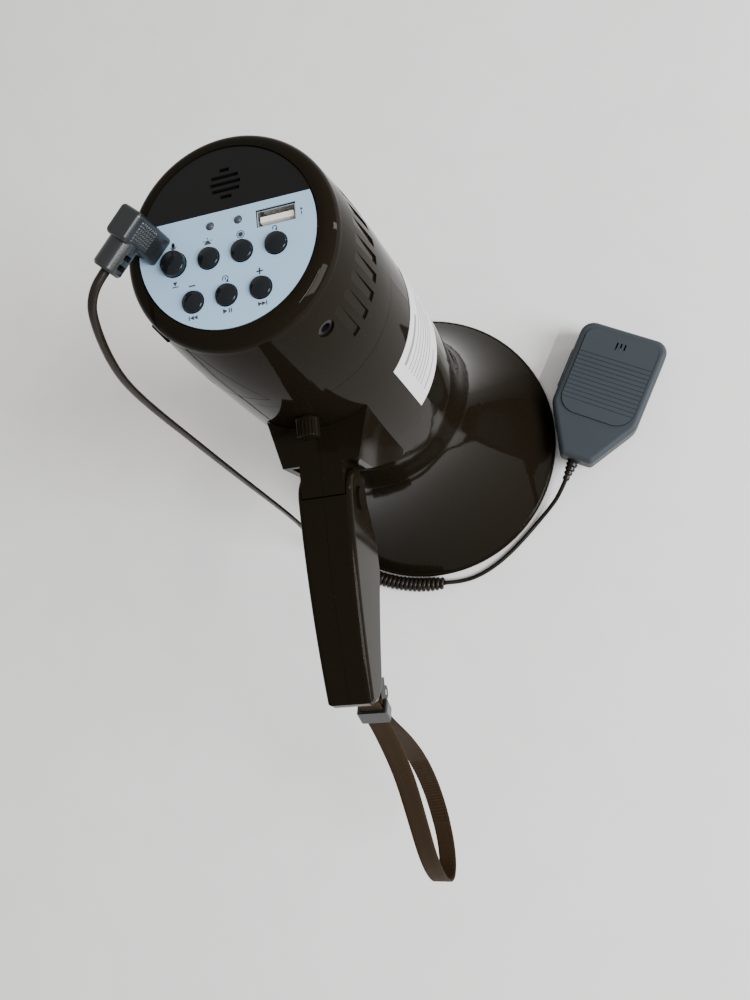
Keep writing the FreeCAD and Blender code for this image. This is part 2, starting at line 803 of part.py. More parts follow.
GRIP_SCREWS = [(-98, 240), (-142, 229), (-121, 222)]


def grip_outline():
    """The grip seen from its side, as (y, z), with the round ear about the pivot."""
    ear = get("ear_radius")
    y, z = get("pivot_y"), get("pivot_z")
    end_y, end_z = as_size(-156.3), as_size(236.3)
    return [
        (y, z + ear, ear),
        (end_y, end_z, slope_radius(z + ear - end_z, y - end_y)),
        (get("grip_end"), 232),
        (-157.2, 226), (-152, 218.5), (-103, 207.5, -300), (-90, 209.5), (-79, 217.5),
        (y, z - ear), (y + ear, z, ear)]


def grip_taper(name, half, half_end, start, end):
    """A wedge drawn as (x, y) that narrows the grip towards its end."""
    return plate(name, 190, 80, [[
        (-half, start), (-half_end, end), (half_end, end), (half, start)]])


def make_grip():
    half, half_end = get("grip_half"), get("grip_half_end")
    inner = get("grip_inner_half")
    end = get("grip_end")
    block = common("grip_block", side_plate("grip_side", 14, grip_outline()),
                   grip_taper("grip_wedge", half + 0.5, half_end, -58, end - 0.1))
    smooth = rounded("grip_smooth", block, get("grip_rounding"),
                     lambda edge: edge.BoundBox.XLength < 4.5)
    hollow = common("grip_hollow", side_plate("grip_cavity", inner, [
        (-55, 255), (get("pivot_y"), 255), (get("pivot_y"), 245.3), (-80, 245.1),
        (-149, 235.6, 290), (-151, 226), (-147, 221), (-103, 210.1), (-93, 211.5),
        (-90, 211.5), (-90, 203), (-55, 203)]),
        plate("cavity_wedge", 190, 80, [[
            (-inner, -54.9), (-inner, -88), (-7.2, -152), (7.2, -152), (inner, -88),
            (inner, -54.9)]]))
    trigger_slot = box("trigger_slot", (-6.3, -113.6, 200), (6.3, -89, 216))
    bosses = [rod_x("grip_boss", 4.2, 10.0, y, z) for y, z in GRIP_SCREWS]
    lug_y, lug_z = get("strap_bar_y"), get("strap_bar_z")
    lugs = []
    for low, high in ((-9.4, -7.2), (7.2, 9.4)):
        lugs.append(cylinder("strap_lug", 3, 2.2, low, lug_y, lug_z, (0, 1, 0), 90))
        lugs.append(box("strap_lug_root", (low, -156.5, 214.5), (high, -148, 221.5)))
    shell = join("grip_shell", [cut("grip_case", smooth, [hollow, trigger_slot])] + bosses + lugs)
    bores = [rod_x("grip_pivot_bore", get("pivot_radius") + 0.02, 20, get("pivot_y"),
                   get("pivot_z")),
             rod_x("trigger_bore", 1.58, 10.9, get("trigger_pivot_y"), get("trigger_pivot_z")),
             rod_x("strap_bar_bore", get("strap_bar_radius") + 0.02, 9.8, lug_y, lug_z)]
    for y, z in GRIP_SCREWS:
        bores.append(rod_x("grip_screw_bore", 1.45, 9.6, y, z))
        bores.append(cylinder("grip_screw_recess", 2.9, 8, -16, y, z, (0, 1, 0), 90))
    whole = cut("grip_whole", shell, bores)
    gap = get("split_gap")
    node(common("grip_left", whole, box("grip_left_side", (-60, -200, 0), (-gap, 0, 400))),
         "grip_left")
    node(common("grip_right", whole, box("grip_right_side", (gap, -200, 0), (60, 0, 400))),
         "grip_right")
    caps = [cylinder("pivot_cap", 5.2, 1.1, x, get("pivot_y"), get("pivot_z"), (0, 1, 0), 90)
            for x in (-12.8, 11.7)]
    pin = rod_x("pivot_shank", get("pivot_radius"), 12.4, get("pivot_y"), get("pivot_z"))
    node(join("pivot_pin", [pin] + caps), "pivot_pin")
    screws = []
    for y, z in GRIP_SCREWS:
        shank = cylinder("grip_screw_shank", 1.4, 16.5, -8.0, y, z, (0, 1, 0), 90)
        head = cylinder("grip_screw_head", 2.7, 1.6, -9.6, y, z, (0, 1, 0), 90)
        screws.append(join("grip_screw", [shank, head]))
    node(group("grip_screws", screws), "grip_screws")
    node(rod_x("strap_bar", get("strap_bar_radius"), 9.3, lug_y, lug_z), "strap_bar")
    switch = join("trigger_switch_solid", [
        box("switch_case", (-4.5, -111, 215), (4.5, -98, 224)),
        box("switch_lever", (-2, -108, 213.2), (2, -101, 215.5))])
    node(switch, "trigger_switch")


def make_trigger():
    y, z = get("trigger_pivot_y"), get("trigger_pivot_z")
    lever = side_plate("trigger_lever", get("trigger_half"), [
        (-83.4, 214), (-87.5, 205), (-95, 202.6, 14), (-104, 203.6, 40), (-111, 201.4, 14),
        (-112.8, 203.4, 1.6), (-110.5, 208.6), (-99, 209.6), (-90.5, 218.2), (-86, 219.6),
        (-83.4, 218)])
    pin = rod_x("trigger_pin", 1.5, 10.8, y, z)
    node(join("trigger", [lever, pin]), "trigger")


# ---------------------------------------------------------------- paths of straight runs and arcs

def rounded_path(points, closed=False, share=0.45):
    """Join points with straight runs and the largest tangent arcs; returns edges and radii."""
    points = [Vector(*point) for point in points]
    count = len(points)
    corners = range(count) if closed else range(1, count - 1)
    bends = {}
    for i in corners:
        before, here, after = points[i - 1], points[i], points[(i + 1) % count]
        back, ahead = before - here, after - here
        trim = share * min(back.Length, ahead.Length)
        turn = math.pi - back.getAngle(ahead)
        entry = here + back.normalize() * trim
        leave = here + ahead.normalize() * trim
        radius = trim / math.tan(turn / 2)
        to_middle = ((entry + leave) * 0.5 - here).normalize()
        middle = here + to_middle * (radius / math.cos(turn / 2) - radius)
        bends[i] = (entry, middle, leave, radius)
    edges = []
    for i in range(count if closed else count - 1):
        following = (i + 1) % count
        start = bends[i][2] if i in bends else points[i]
        end = bends[following][0] if following in bends else points[following]
        edges.append(Part.LineSegment(start, end).toShape())
        if following in bends:
            edges.append(Part.Arc(*bends[following][:3]).toShape())
    return edges, [bend[3] for bend in bends.values()]


def feature(label, shape):
    obj = doc.addObject("Part::Feature", label)
    obj.Shape = shape
    return node(obj, label)


def make_tube(label, points, radius):
    edges, radii = rounded_path(points)
    path = Part.Wire(edges)
    start, direction = Vector(*points[0]), Vector(*points[1]) - Vector(*points[0])
    ring = Part.Wire([Part.Circle(start, direction, radius).toShape()])
    tube = path.makePipeShell([ring], True, False)
    expected = math.pi * radius ** 2 * path.Length
    print("%s: length %.1f mm, volume ratio %.4f, radii %s" % (
        label, path.Length, tube.Volume / expected, ["%.1f" % r for r in radii]))
    return feature(label, tube)


# ---------------------------------------------------------------- wrist strap

STRAP_ROUTE = [
    # (y, z) of the webbing's middle line: round the bar, out through the slide, round the loop
    (-151.2, 213.4), (-154.2, 216.6), (-157.6, 213.6),
    (-162.0, 204.6), (-166.6, 198.6), (-177.0, 184.0), (-197.0, 162.5), (-222.0, 144.0),
    (-249.0, 124.0), (-267.0, 101.0), (-274.5, 78.0), (-267.0, 66.0), (-249.0, 68.5),
    (-222.0, 88.0), (-198.5, 119.5), (-183.0, 151.5), (-172.0, 180.0), (-164.6, 197.2),
    (-160.4, 203.4), (-153.8, 209.2)]


def make_strap():
    """Webbing loop about the strap bar, and the slide that gathers its two runs."""
    thick = get("strap_thick").value
    half = get("strap_width").value / 2
    edges, radii = rounded_path([(-half, y, z) for y, z in STRAP_ROUTE], closed=True)
    line = Part.Wire(edges)
    rings = [line.makeOffset2D(shift, 0, False, False) for shift in (thick / 2, -thick / 2)]
    rings.sort(key=lambda ring: ring.BoundBox.DiagonalLength)
    band = Part.Face(rings[1]).cut(Part.Face(rings[0]))
    solid = band.extrude(Vector(2 * half, 0, 0))
    print("strap: length %.1f mm, smallest radius %.1f, volume ratio %.4f" % (
        line.Length, min(radii), solid.Volume / (line.Length * thick * 2 * half)))
    solid = solid.Solids[0]
    feature("wrist_strap", solid)
    sleeve = box("slide_sleeve", (-7, -4.2, -3.6), (7, 4.2, 3.6))
    window = box("slide_window", (-5.3, -6, -2.2), (5.3, 6, 2.2))
    slide = rounded("strap_slide_solid", cut("strap_slide_plain", sleeve, [window]), 1.2,
                    lambda edge: abs(abs(edge.CenterOfMass.x) - 7) < 0.01
                    and abs(edge.CenterOfMass.y) < 4.3 and edge.Length > 6)
    slide.Placement = Placement(Vector(0, -163.3, 200.9), Rotation(Vector(1, 0, 0), 54))
    node(slide, "strap_slide")


# ---------------------------------------------------------------- hand microphone

def mic_outline(inset):
    """The microphone from above, cord end at the origin, pulled in by an inset."""
    inset = as_size(inset)
    half, length, corner = get("mic_half"), get("mic_length"), get("mic_corner")
    foot, shoulder = as_size(4), as_size(14)
    cosine = math.cos(math.radians(30))
    foot_x = half - shoulder + (shoulder - foot) * cosine - 27 / math.tan(math.radians(60))
    foot_r, shoulder_r, corner_r = foot - inset, shoulder - inset, corner - inset
    shoulder_x, shoulder_y = half - shoulder, as_size(36)
    right = [
        (foot_x, inset),
        (foot_x + foot_r * cosine, foot - foot_r * 0.5, foot_r),
        (shoulder_x + shoulder_r * cosine, shoulder_y - shoulder_r * 0.5),
        (half - inset, shoulder_y, shoulder_r),
        (half - inset, length - corner),
        (half - corner, length - inset, corner_r)]
    left = []
    for i in range(len(right) - 1, -1, -1):
        arc = right[i + 1][2:] if i + 1 < len(right) else ()
        left.append((-right[i][0], right[i][1]) + arc)
    return right + left


def mic_place(obj):
    return place(obj, get("mic_x"), get("mic_y"), 0, (0, 0, 1), get("mic_turn"))


def mic_shell(name, low, high, floor_at, rounding_at, rounding):
    """One half of the case: the outline, hollowed from the seam, with its outer rim rounded."""
    doc.recompute()
    solid = plate(name + "_block", low, high - low, [mic_outline(as_size(0))])
    smooth = rounded(name + "_smooth", solid, rounding,
                     lambda edge: abs(edge.CenterOfMass.z - rounding_at.value) < 0.01
                     and edge.BoundBox.ZLength < 0.01)
    wall = get("mic_wall")
    if floor_at == "low":
        hollow = plate(name + "_hollow", low + wall, high - low, [mic_outline(wall)])
    else:
        hollow = plate(name + "_hollow", low - wall, high - low, [mic_outline(wall)])
    return smooth, hollow


MIC_SLOTS = (-2.7, 0.0, 2.7)
MIC_SLOT_Y = 80.0
MIC_SCREWS = [(0, 84), (0, 18)]
TALK_BAR = (44.0, 72.0)
CLIP_HINGE_Y = 62.0
CLIP_HINGE_Z = 3.6
BOOT_X = -1.5


def plate_outline(inset):
    """The ribbed plate inside the front's rim, rounder at its lower end."""
    half, top, low = as_size(24.6) - inset, as_size(88.0) - inset, as_size(28.6) + inset
    upper, lower = as_size(6), as_size(12)
    return [
        (half, low + lower, lower), (half, top - upper), (half - upper, top, upper),
        (-half + upper, top), (-half, top - upper, upper), (-half, low + lower),
        (-half + lower, low, lower), (half - lower, low)]


def make_hand_mic():
    back, seam, front = get("mic_back"), get("mic_seam"), get("mic_front")
    boot_z = get("boot_height")
    boot_hole = cylinder("boot_hole", 4.3, 8, BOOT_X, 6, boot_z, (1, 0, 0), 90)
    talk_hole = box("talk_hole", (-32, TALK_BAR[0] - 0.4, 11.6), (-24, TALK_BAR[1] + 0.4, 20.4))
    slots = [box("mic_slot", (x - 0.55, MIC_SLOT_Y - 2.8, 18), (x + 0.55, MIC_SLOT_Y + 2.8, 30))
             for x in MIC_SLOTS]
    screw_holes = [cylinder("mic_screw_hole", 1.5, 14, x, y, 5) for x, y in MIC_SCREWS]

    smooth, hollow = mic_shell("mic_back", back, seam - 0.05, "low", back, 2.5)
    lugs = [box("clip_lug", (x, 58.6, 1.6), (x + 2, 65.4, 8)) for x in (-13.6, 11.6)]
    pin_bore = rod_x("clip_bore", 1.10, 15, CLIP_HINGE_Y, CLIP_HINGE_Z)
    shell = join("mic_back_shell", [cut("mic_back_case", smooth, [hollow])] + lugs)
    node(mic_place(cut("hand_mic_back", shell, [boot_hole, talk_hole, pin_bore] + screw_holes)),
         "hand_mic_back")

    smooth, hollow = mic_shell("mic_front", seam + 0.05, front, "high", front, 3.6)
    seat = plate("plate_seat", front - 1.0, 3, [plate_outline(as_size(-0.15))])
    boot_hole_front = cylinder("boot_hole_front", 4.3, 8, BOOT_X, 6, boot_z, (1, 0, 0), 90)
    talk_hole_front = box("talk_hole_front", (-32, TALK_BAR[0] - 0.4, 11.6),
                          (-24, TALK_BAR[1] + 0.4, 20.4))
    bosses = [cylinder("mic_boss", 3, 12, x, y, 12.6) for x, y in MIC_SCREWS]
    boss_bores = [cylinder("mic_boss_bore", 1.25, 11, x, y, 12) for x, y in MIC_SCREWS]
    case = join("mic_front_shell", [cut("mic_front_case", smooth, [hollow])] + bosses)
    node(mic_place(cut("hand_mic_front", case,
                       [seat, boot_hole_front, talk_hole_front] + slots + boss_bores)),
         "hand_mic_front")
    make_mic_plate(front)
    make_mic_insides(boot_z)


def make_mic_plate(front):
    body = plate("mic_plate_blank", front - 1.0, 2.0, [plate_outline(as_size(0.1))])
    sketch = new_sketch(body, "XY_Plane", [box_outline(0, 37.5, 60, 0.7)], offset=front + 0.5)
    groove = body.newObject("PartDesign::Pocket", "rib_groove")
    groove.Profile = (sketch, [""])
    groove.Reversed = True
    groove.Length = 3
    grooves = body.newObject("PartDesign::LinearPattern", "rib_grooves")
    grooves.Originals = [groove]
    grooves.Direction = (sketch, ["V_Axis"])
    grooves.Length = 33
    grooves.Occurrences = 12
    body.Tip = grooves
    slots = [box("plate_slot", (x - 0.55, MIC_SLOT_Y - 2.8, 18), (x + 0.55, MIC_SLOT_Y + 2.8, 30))
             for x in MIC_SLOTS]
    node(mic_place(cut("hand_mic_plate", body, slots)), "hand_mic_plate")


def make_mic_insides(boot_z):
    board = plate("hand_mic_board", 18.6, 1.4, [box_outline(0, 52, 40, 34)])
    node(mic_place(board), "hand_mic_board")
    capsule = cylinder("hand_mic_capsule", 4.85, 4.8)
    move(capsule, MIC_FRAME.multiply(Placement(Vector(0, 75.8, 18.8), Rotation())))
    node(capsule, "hand_mic_capsule")
    screws = []
    for x, y in MIC_SCREWS:
        shank = cylinder("mic_screw_shank", 1.2, 15.6, x, y, 6.2)
        head = cylinder("mic_screw_head", 2.5, 1.3, x, y, 5.1)
        screws.append(join("mic_screw", [shank, head]))
    node(mic_place(group("hand_mic_screws", screws)), "hand_mic_screws")

    talk = box("talk_bar_solid", (-30.4, TALK_BAR[0], 12), (-26.0, TALK_BAR[1], 20))
    talk_smooth = rounded("talk_bar_smooth", talk, 1.2,
                          lambda edge: edge.CenterOfMass.x < -30.3)
    node(mic_place(talk_smooth), "hand_mic_talk_bar")

    lever = side_plate("clip_lever", 10.5, [
        (24, 4.4), (24, 2.4), (30, 0.6), (58, 0.6), (72, 0.05), (74, 2.2), (70, 3.6), (60, 5.4),
        (57, 3.4), (32, 3.4), (27, 6.2), (24, 6.2)])
    pin = rod_x("clip_pin", 1.05, 13.4, CLIP_HINGE_Y, CLIP_HINGE_Z)
    node(mic_place(join("hand_mic_clip", [lever, pin])), "hand_mic_clip")

    length = get("boot_length").value
    ribs = 4
    corners = [(1.55, 0), (1.55, length), (2.1, length)]
    for i in range(ribs):
        along = length - (length - 1.5) * (i + 0.35) / ribs
        radius = 2.1 + 2.0 * (i + 0.5) / ribs
        corners += [(radius, along), (radius, along - 1.5), (radius - 0.6, along - 1.5),
                    (radius - 0.6, along - 2.1)]
    corners += [(4.1, 0.4), (4.1, -2.5), (1.55, -2.5)]
    boot = turned("cord_boot", corners[1:])
    boot.Placement = MIC_FRAME.multiply(Placement(
        Vector(BOOT_X, 0, boot_z.value), Rotation(Vector(1, 0, 0), 90)))
    node(boot, "cord_boot")


MIC_FRAME = Placement(Vector(SIZES["mic_x"], SIZES["mic_y"], 0),
                      Rotation(Vector(0, 0, 1), SIZES["mic_turn"]))


# ---------------------------------------------------------------- plug and cord

def plug_place(obj, extra=None):
    frame = Placement(Vector(SIZES["plug_x"], SIZES["plug_y"], 0),
                      Rotation(Vector(0, 0, 1), SIZES["plug_turn"]))
    obj.Placement = frame.multiply(extra) if extra else frame
    return obj


def make_plug():
    """Right-angled plug: block on the panel, barrel towards the cord."""
    block = plate("plug_block", REAR_Z + 0.1, 17.9, [box_outline(0, 0, 10.6, 8.4)])
    smooth = rounded("plug_smooth", block, 1.6,
                     lambda edge: edge.CenterOfMass.z > 327 and edge.Length > 5)
    barrel = turned("plug_barrel", [(0, 4), (4.6, 4), (4.6, 14.4), (3.9, 15.3), (0, 15.3)])
    barrel.Placement = Placement(Vector(0, 0, SIZES["plug_cord_height"]),
                                 Rotation(Vector(0, 1, 0), 90))
    windows = [box("plug_window", (x, -6, 336.6), (x + 1.8, 6, 339.4)) for x in (7.6, 11.2)]
    plug = cut("plug_body", join("plug_solid", [smooth, barrel]), windows)
    node(plug_place(plug), "plug_body")
    pin = turned("plug_pin", [
        (0, 312), (0.9, 312.4), (1.75, 314), (1.75, REAR_Z + 0.1), (0, REAR_Z + 0.1)])
    node(place(pin, get("plug_x"), get("plug_y")), "plug_pin")


LEAD_ROUTE = [
    (-35.54, -9.37, 338.0), (-38.22, -12.34, 338.0), (-40.79, -15.20, 336.9),
    (-43.06, -17.72, 334.78), (-44.84, -19.70, 331.8), (-47.2, -22.2, 325.0),
    (-50.3, -25.2, 313.5), (-53.6, -28.4, 299.0), (-57.1, -31.6, 277.0),
    (-62.4, -36.9, 237.0), (-67.3, -41.9, 186.0), (-72.3, -46.9, 131.0),
    (-76.6, -51.4, 84.0), (-80.2, -55.5, 50.0), (-83.2, -59.3, 28.0), (-83.0, -66.0, 10.0),
    (-74.5, -73.5, 3.2), (-62.37, -79.83, 4.6)]
TAIL_ROUTE = [
    (7.07, -101.05, 4.2), (16.0, -101.2, 2.4), (27.0, -99.6, 1.7), (40.0, -94.2, 1.7),
    (53.5, -85.4, 1.7), (66.5, -74.4, 1.7), (77.0, -64.6, 2.0), (85.6, -56.8, 5.4),
    (92.2, -50.2, 11.2), (97.69, -41.03, 14.0)]


def make_cord():
    make_tube("cord_lead", LEAD_ROUTE, get("cord_radius").value)
    curl = doc.addObject("Part::Torus", "cord_curl")
    bind(curl, "Radius1", get("curl_ring"))
    bind(curl, "Radius2", get("curl_radius"))
    bind(curl, "Angle3", get("curl_sweep"))
    node(place(curl, 0, 0, get("curl_radius"), (0, 0, 1), get("curl_start")), "cord_curl")
    make_tube("cord_tail", TAIL_ROUTE, get("cord_radius").value)


# ---------------------------------------------------------------- build, check, write

make_horn_bell()
make_rating_sticker()
make_throat_tube()
make_reflector()
make_driver()
make_amplifier()
make_rear_shell()
make_charge_socket()
make_battery()
make_panel()
for button_name, (button_x, button_y) in BUTTONS.items():
    make_button(button_name, button_x, button_y)
make_switches()
make_control_board()
make_panel_fittings()
make_volume_knob()
make_bracket()
make_grip()
make_trigger()
make_strap()
make_hand_mic()
make_plug()
make_cord()
doc.recompute()

for obj in doc.Objects:
    if "Invalid" in obj.State or "Error" in obj.State:
        raise RuntimeError("%s did not compute: %s" % (obj.Name, obj.State))
os.makedirs("parts", exist_ok=True)
for obj in NODES:
    if obj.Shape.isNull() or not obj.Shape.isValid():
        raise RuntimeError("%s has no valid shape" % obj.Label)
for obj in NODES:
    obj.Shape.exportStep("parts/%s.step" % obj.Label)
    print("%-22s %2d solids  %9.1f mm3  x %6.1f..%6.1f  y %6.1f..%6.1f  z %6.1f..%6.1f" % (
        obj.Label, len(obj.Shape.Solids), obj.Shape.Volume,
        obj.Shape.BoundBox.XMin, obj.Shape.BoundBox.XMax, obj.Shape.BoundBox.YMin,
        obj.Shape.BoundBox.YMax, obj.Shape.BoundBox.ZMin, obj.Shape.BoundBox.ZMax))
print(len(NODES), "nodes")
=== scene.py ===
import json
import math

import bmesh
import bpy
from mathutils import Matrix, Vector


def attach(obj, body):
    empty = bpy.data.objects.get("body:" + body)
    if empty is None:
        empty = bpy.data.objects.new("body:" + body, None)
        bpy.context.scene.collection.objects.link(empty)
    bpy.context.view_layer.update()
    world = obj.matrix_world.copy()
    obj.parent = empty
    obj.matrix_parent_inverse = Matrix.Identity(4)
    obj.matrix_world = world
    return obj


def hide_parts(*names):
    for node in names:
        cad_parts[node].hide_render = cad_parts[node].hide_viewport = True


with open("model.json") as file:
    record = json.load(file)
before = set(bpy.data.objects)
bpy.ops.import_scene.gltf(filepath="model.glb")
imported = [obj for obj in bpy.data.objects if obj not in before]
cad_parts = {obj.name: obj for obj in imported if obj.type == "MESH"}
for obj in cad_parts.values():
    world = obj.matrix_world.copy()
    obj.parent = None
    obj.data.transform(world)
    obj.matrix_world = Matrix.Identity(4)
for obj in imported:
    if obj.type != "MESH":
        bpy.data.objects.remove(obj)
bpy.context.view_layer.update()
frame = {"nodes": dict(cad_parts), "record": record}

NODES = frame["nodes"]
MM = 0.001

# ---------------------------------------------------------------- camera

CAMERA_AXES = [(0.9621, -0.09518, -0.25553), (-0.13366, -0.98141, -0.13772),
               (-0.23768, 0.16665, -0.95694)]          # right, down, forward
CAMERA_PLACE = Vector((90.79, -126.17, 527.80)) * MM
CAMERA_SENSOR, CAMERA_LENS = 36.0, 26.64


def make_camera():
    data = bpy.data.cameras.new("camera")
    data.sensor_width = CAMERA_SENSOR
    data.lens = CAMERA_LENS
    camera = bpy.data.objects.new("camera", data)
    bpy.context.scene.collection.objects.link(camera)
    right, down, forward = (Vector(axis) for axis in CAMERA_AXES)
    turn = Matrix((right, -down, -forward)).transposed().to_4x4()
    camera.matrix_world = Matrix.Translation(CAMERA_PLACE) @ turn
    data.clip_start = 0.01
    data.clip_end = 20.0
    bpy.context.scene.camera = camera


make_camera()

# ---------------------------------------------------------------- microphone cord

# Beside the battery door, between 325 and 277 mm up, the lead stands up to 2.6 mm further out
# than the CAD tube, because the smooth curve cuts inside the route's corners.
LEAD_ROUTE = [
    (-35.54, -9.37, 338.0), (-38.22, -12.34, 338.0), (-40.79, -15.20, 336.9),
    (-43.06, -17.72, 334.78), (-44.84, -19.70, 331.8), (-47.8, -22.7, 325.0),
    (-51.8, -26.6, 313.5), (-55.5, -30.2, 299.0), (-58.6, -33.0, 277.0),
    (-62.4, -36.9, 237.0), (-67.3, -41.9, 186.0), (-72.3, -46.9, 131.0),
    (-76.6, -51.4, 84.0), (-80.2, -55.5, 50.0), (-83.2, -59.3, 28.0), (-83.0, -66.0, 10.0),
    (-74.5, -73.5, 3.2), (-62.37, -79.83, 4.6)]
TAIL_ROUTE = [
    (7.07, -101.05, 4.2), (16.0, -101.2, 2.4), (27.0, -99.6, 1.7), (40.0, -94.2, 1.7),
    (53.5, -85.4, 1.7), (66.5, -74.4, 1.7), (77.0, -64.6, 2.0), (85.6, -56.8, 5.4),
    (92.2, -50.2, 11.2), (97.69, -41.03, 14.0)]
CURL_RING, CURL_HEIGHT = 101.3, 5.25
CURL_FROM, CURL_SWEEP, CURL_STEPS = 232.0, 42.0, 6
COIL_RADIUS, COIL_PITCH = 3.72, 3.12
COIL_STEPS = 22              # points in each turn
COIL_GROWS_OVER = 0.8        # turns
COIL_UNEVEN = 0.025
CORD_RADIUS = 1.5
CLOSEST_POINTS = 0.3


def spline_points(points, cyclic=False, resolution=24):
    """Points along the smooth NURBS line that has these control points, in millimetres."""
    data = bpy.data.curves.new("route", "CURVE")
    data.dimensions = "3D"
    spline = data.splines.new("NURBS")
    spline.points.add(len(points) - 1)
    for point, place in zip(spline.points, points):
        point.co = (*place, 1.0)
    spline.order_u = 3
    spline.use_endpoint_u = not cyclic
    spline.use_cyclic_u = cyclic
    spline.resolution_u = resolution
    obj = bpy.data.objects.new("route", data)
    bpy.context.scene.collection.objects.link(obj)
    mesh = bpy.data.meshes.new_from_object(obj)
    found = [v.co.copy() for v in mesh.vertices]
    bpy.data.objects.remove(obj)
    bpy.data.curves.remove(data)
    bpy.data.meshes.remove(mesh)
    return found


def along(points):
    """Distance of each point from the first."""
    total = [0.0]
    for a, b in zip(points, points[1:]):
        total.append(total[-1] + (b - a).length)
    return total


def sample(points, lengths, at):
    """The place at one distance along a line, and its direction there."""
    low, high = 0, len(lengths) - 1
    while high - low > 1:
        middle = (low + high) // 2
        if lengths[middle] > at:
            high = middle
        else:
            low = middle
    span = max(lengths[high] - lengths[low], 1e-9)
    share = min(max((at - lengths[low]) / span, 0.0), 1.0)
    return points[low].lerp(points[high], share), (points[high] - points[low]).normalized()


def smooth(value):
    """From 0 to 1 with level ends."""
    value = min(max(value, 0.0), 1.0)
    return value * value * (3 - 2 * value)


def cord_line():
    """The cord from plug to microphone: straight lead, curly part, straight tail."""
    ring = []
    for i in range(1, CURL_STEPS):
        angle = math.radians(CURL_FROM + CURL_SWEEP * i / CURL_STEPS)
        reach = CURL_RING / math.cos(math.radians(CURL_SWEEP / CURL_STEPS / 2))
        ring.append((reach * math.cos(angle), reach * math.sin(angle), CURL_HEIGHT))
    line = spline_points(LEAD_ROUTE + ring + TAIL_ROUTE)
    lengths = along(line)
    first = min(range(len(line)), key=lambda i: (line[i] - Vector(LEAD_ROUTE[-1])).length)
    last = min(range(len(line)), key=lambda i: (line[i] - Vector(TAIL_ROUTE[0])).length)
    start, end = lengths[first] + 1.0, lengths[last] - 1.0
    turns = round((end - start) / COIL_PITCH)
    points = [p for p, s in zip(line, lengths) if s < start]
    steps = turns * COIL_STEPS
    for i in range(steps + 1):
        share = i / steps
        centre, ahead = sample(line, lengths, start + (end - start) * share)
        side = ahead.cross(Vector((0, 0, 1))).normalized()
        up = side.cross(ahead)
        angle = math.tau * turns * share
        reach = COIL_RADIUS * smooth(share * turns / COIL_GROWS_OVER)
        reach *= smooth((1 - share) * turns / COIL_GROWS_OVER)
        reach *= 1 + COIL_UNEVEN * math.sin(angle * 0.37 + 1.0)
        reach = min(reach, centre.z - CORD_RADIUS)
        points.append(centre + (side * math.cos(angle) + up * math.sin(angle)) * reach)
    points += [p for p, s in zip(line, lengths) if s > end]
    kept = [points[0]]
    for point in points[1:]:
        if (point - kept[-1]).length > CLOSEST_POINTS:
            kept.append(point)
    return kept


def mesh_object(name, mesh):
    """A new object that holds what was built in a bmesh."""
    data = bpy.data.meshes.new(name)
    mesh.to_mesh(data)
    mesh.free()
    obj = bpy.data.objects.new(name, data)
    bpy.context.scene.collection.objects.link(obj)
    return obj


def tube_mesh(name, points, radius, sides=10):
    """A closed round tube along a line of points, all in millimetres."""
    mesh = bmesh.new()
    ahead = (points[1] - points[0]).normalized()
    side = ahead.orthogonal().normalized()
    rings = []
    for i, point in enumerate(points):
        before, after = points[max(i - 1, 0)], points[min(i + 1, len(points) - 1)]
        ahead = (after - before).normalized()
        side = (side - ahead * side.dot(ahead)).normalized()
        up = ahead.cross(side)
        spokes = [side * math.cos(math.tau * k / sides) + up * math.sin(math.tau * k / sides)
                  for k in range(sides)]
        rings.append([mesh.verts.new((point + spoke * radius) * MM) for spoke in spokes])
    for a, b in zip(rings, rings[1:]):
        for k in range(sides):
            mesh.faces.new((a[k], a[(k + 1) % sides], b[(k + 1) % sides], b[k]))
    mesh.faces.new(list(reversed(rings[0])))
    mesh.faces.new(rings[-1])
    for face in mesh.faces:
        face.smooth = len(face.verts) == 4
    return mesh_object(name, mesh)


CORD_LINE = cord_line()
cord = tube_mesh("microphone_cord", CORD_LINE, CORD_RADIUS)
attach(cord, "horn")
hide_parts("cord_lead", "cord_curl", "cord_tail")
print("cord length mm", round(along(CORD_LINE)[-1], 1))

# ---------------------------------------------------------------- materials


